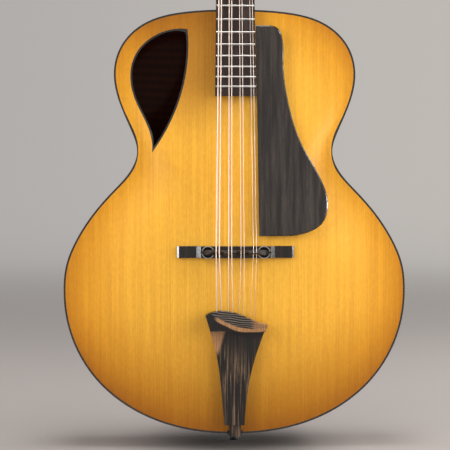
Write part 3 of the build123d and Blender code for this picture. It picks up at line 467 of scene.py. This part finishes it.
# ------------------------------------------------------------------ pieces made from the frame
def copy_mesh(node, name):
    """A new piece with a node's shape, its seams between faces closed."""
    mesh = bmesh.new()
    mesh.from_mesh(NODES[node].data)
    bmesh.ops.remove_doubles(mesh, verts=mesh.verts, dist=WELD)
    data = bpy.data.meshes.new(name)
    mesh.to_mesh(data)
    mesh.free()
    piece = bpy.data.objects.new(name, data)
    bpy.context.scene.collection.objects.link(piece)
    dress(piece, material_of(node))
    return piece


def rounded(node, body, width, segments=3, angle=32.0, past_x=None):
    """The node with its sharp edges rounded, as sandpaper leaves them, or only those past an X."""
    piece = copy_mesh(node, node + "_shaped")
    mesh = bmesh.new()
    mesh.from_mesh(piece.data)
    flat = math.radians(0.4)
    bmesh.ops.dissolve_limit(mesh, angle_limit=flat, verts=mesh.verts, edges=mesh.edges)
    if past_x is not None:
        weight = mesh.edges.layers.float.new("bevel_weight_edge")
        for edge in mesh.edges:
            sharp = len(edge.link_faces) == 2 and edge.calc_face_angle(0) > math.radians(angle)
            middle_x = (edge.verts[0].co.x + edge.verts[1].co.x) / 2
            edge[weight] = float(sharp and middle_x > past_x)
    mesh.to_mesh(piece.data)
    mesh.free()
    bevel = piece.modifiers.new("bevel", "BEVEL")
    bevel.width = width
    bevel.segments = segments
    bevel.limit_method = "ANGLE" if past_x is None else "WEIGHT"
    bevel.angle_limit = math.radians(angle)
    bevel.use_clamp_overlap = node != "pickguard"
    for polygon in piece.data.polygons:
        polygon.use_smooth = segments > 1
    if segments > 1:
        weighted = piece.modifiers.new("normals", "WEIGHTED_NORMAL")
        weighted.keep_sharp = True
    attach(piece, body)
    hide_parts(node)
    return piece


EDGES = {
    "bridge_base": 0.0009,
    "tailpiece": 0.0011,
    "nut": 0.0004,
    "headstock_veneer": 0.0008,
    "truss_rod_cover": 0.0005,
}
for node, width in EDGES.items():
    rounded(node, ROOT, width)
# a flat chamfer, on all but the straight side by the strings, that catches the side light
rounded("pickguard", ROOT, 0.0014, segments=1, past_x=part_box("pickguard")[0].x + 0.007)
rounded("bridge_saddle", "saddle", 0.0004)


def cut_at(node, height, keep_above, name):
    """One side of a node's mesh, cut level at a height."""
    piece = copy_mesh(node, name)
    mesh = bmesh.new()
    mesh.from_mesh(piece.data)
    geometry = mesh.verts[:] + mesh.edges[:] + mesh.faces[:]
    bmesh.ops.bisect_plane(
        mesh, geom=geometry, plane_co=(0, 0, height), plane_no=(0, 0, 1),
        clear_inner=keep_above, clear_outer=not keep_above,
    )
    for face in mesh.faces:
        face.smooth = True
    mesh.to_mesh(piece.data)
    mesh.free()
    return piece


SADDLE_LOW, SADDLE_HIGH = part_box("bridge_saddle")
SADDLE_Z = (SADDLE_LOW.z + SADDLE_HIGH.z) / 2
for course in "gdae":
    node = f"strings_{course}"
    tail = cut_at(node, SADDLE_Z, False, f"string_ends_{course}")
    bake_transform(tail)
    main = cut_at(node, SADDLE_Z, True, f"string_lengths_{course}")
    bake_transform(main)
    for piece in (tail, main):
        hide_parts(node)


# ------------------------------------------------------------------ floor and backdrop
def paper():
    """Grey paper: a painted shadow under the instrument, and a painted glow where it is far from the
    lamps.
    """
    m = Material("paper", roughness=0.9, specular=0.2)
    fibre = m.noise((240, 240, 240), detail=4.0)
    x, y = m.axis("X"), m.minus(m.axis("Y"), RIM_Y + 0.04)
    away = m.length(x, y)
    # painted shadow: the paper is dark round the spot under the instrument and lightens outwards
    colour = m.mix(m.level(away, 0.02, 0.17), (0.045, 0.041, 0.038), (0.25, 0.227, 0.214))
    m.set("Base Color", m.mix(m.level(fibre, 0.3, 0.7, 0.0, 0.10), colour, (0.19, 0.178, 0.167)))
    # painted glow: the paper emits light that grows away from the instrument and is brighter towards the
    # right
    glow = m.mix(m.level(x, -1.3, 1.3), (0.302, 0.295, 0.292), (0.387, 0.374, 0.350))
    m.set("Emission Color", m.mix(m.level(away, 0.3, 4.6), (0, 0, 0), glow))
    m.set("Emission Strength", 1.0)
    m.bump(fibre, 0.0002, 0.3)
    return m.data


def backdrop():
    """A round floor that sweeps up into a wall on every side."""
    floor = cad_low.z - FLOOR_GAP
    radius, bend, height, sides = 5.4, 1.8, 3.6, 96
    line = [(0.02, floor), (1.0, floor), (radius - bend, floor)]
    for step in range(1, 17):
        angle = math.pi / 2 * step / 16
        line.append((radius - bend + bend * math.sin(angle), floor + bend * (1 - math.cos(angle))))
    line.append((radius, floor + height))
    mesh = bmesh.new()
    rings = []
    angles = [2 * math.pi * side / sides for side in range(sides)]
    for away, level in line:
        spots = [(away * math.cos(a), away * math.sin(a), level) for a in angles]
        rings.append([mesh.verts.new(spot) for spot in spots])
    mesh.faces.new(rings[0])
    for inside_shade_and_bare, outer in zip(rings, rings[1:]):
        for i in range(sides):
            j = (i + 1) % sides
            mesh.faces.new((inside_shade_and_bare[i], inside_shade_and_bare[j], outer[j], outer[i])).smooth = True
    bmesh.ops.recalc_face_normals(mesh, faces=mesh.faces)
    data = bpy.data.meshes.new("backdrop")
    mesh.to_mesh(data)
    mesh.free()
    obj = bpy.data.objects.new("backdrop", data)
    bpy.context.scene.collection.objects.link(obj)
    dress(obj, paper())


backdrop()


# ------------------------------------------------------------------ light and camera
def softbox(name, place, target, size, power, colour=(1, 1, 1)):
    data = bpy.data.lights.new(name, "AREA")
    data.shape = "RECTANGLE"
    data.size, data.size_y = size
    data.energy = power
    data.color = colour
    lamp = bpy.data.objects.new(name, data)
    bpy.context.scene.collection.objects.link(lamp)
    lamp.location = place
    lamp.rotation_euler = (Vector(target) - Vector(place)).to_track_quat("-Z", "Y").to_euler()


MIDDLE = Vector((0, RIM_Y, TAIL_Z + 0.25))
softbox("key_left", MIDDLE + Vector((-1.9, -1.5, 0.9)), MIDDLE, (1.3, 1.8), 37, (1.0, 0.98, 0.95))
softbox("key_right", MIDDLE + Vector((1.9, -1.3, 0.7)), MIDDLE, (1.2, 1.9), 40.5, (1.0, 0.985, 0.96))
softbox("side_left", MIDDLE + Vector((-1.7, 0.12, 0.05)), MIDDLE, (1.3, 0.40), 30)
softbox("side_right", MIDDLE + Vector((1.7, 0.12, 0.10)), MIDDLE, (1.5, 0.40), 36)
softbox("side_high", MIDDLE + Vector((1.35, 0.12, 1.05)), MIDDLE, (1.5, 0.40), 17)
softbox("overhead", MIDDLE + Vector((0, -0.15, 2.0)), MIDDLE, (0.9, 0.7), 34)

world = bpy.data.worlds.new("room")
world.use_nodes = True
world.node_tree.nodes["Background"].inputs[0].default_value = (0.92, 0.94, 1.0, 1.0)
world.node_tree.nodes["Background"].inputs[1].default_value = 0.20
bpy.context.scene.world = world
bpy.context.scene.view_settings.view_transform = "Standard"
bpy.context.scene.view_settings.look = "None"

AZIMUTH, ELEVATION = math.radians(-2.2), math.radians(2.0)
DISTANCE = 1.8
FIELD = 0.5355
AIM = Vector((-0.0116, RIM_Y, TAIL_Z + 0.2487))
camera_data = bpy.data.cameras.new("camera")
camera_data.sensor_width = 36.0
camera_data.lens = 36.0 * DISTANCE / FIELD
camera = bpy.data.objects.new("camera", camera_data)
bpy.context.scene.collection.objects.link(camera)
way = Vector((
    math.sin(AZIMUTH) * math.cos(ELEVATION),
    -math.cos(AZIMUTH) * math.cos(ELEVATION),
    math.sin(ELEVATION),
))
camera.location = AIM + way * DISTANCE
camera.rotation_euler = (-way).to_track_quat("-Z", "Y").to_euler()
bpy.context.scene.camera = camera
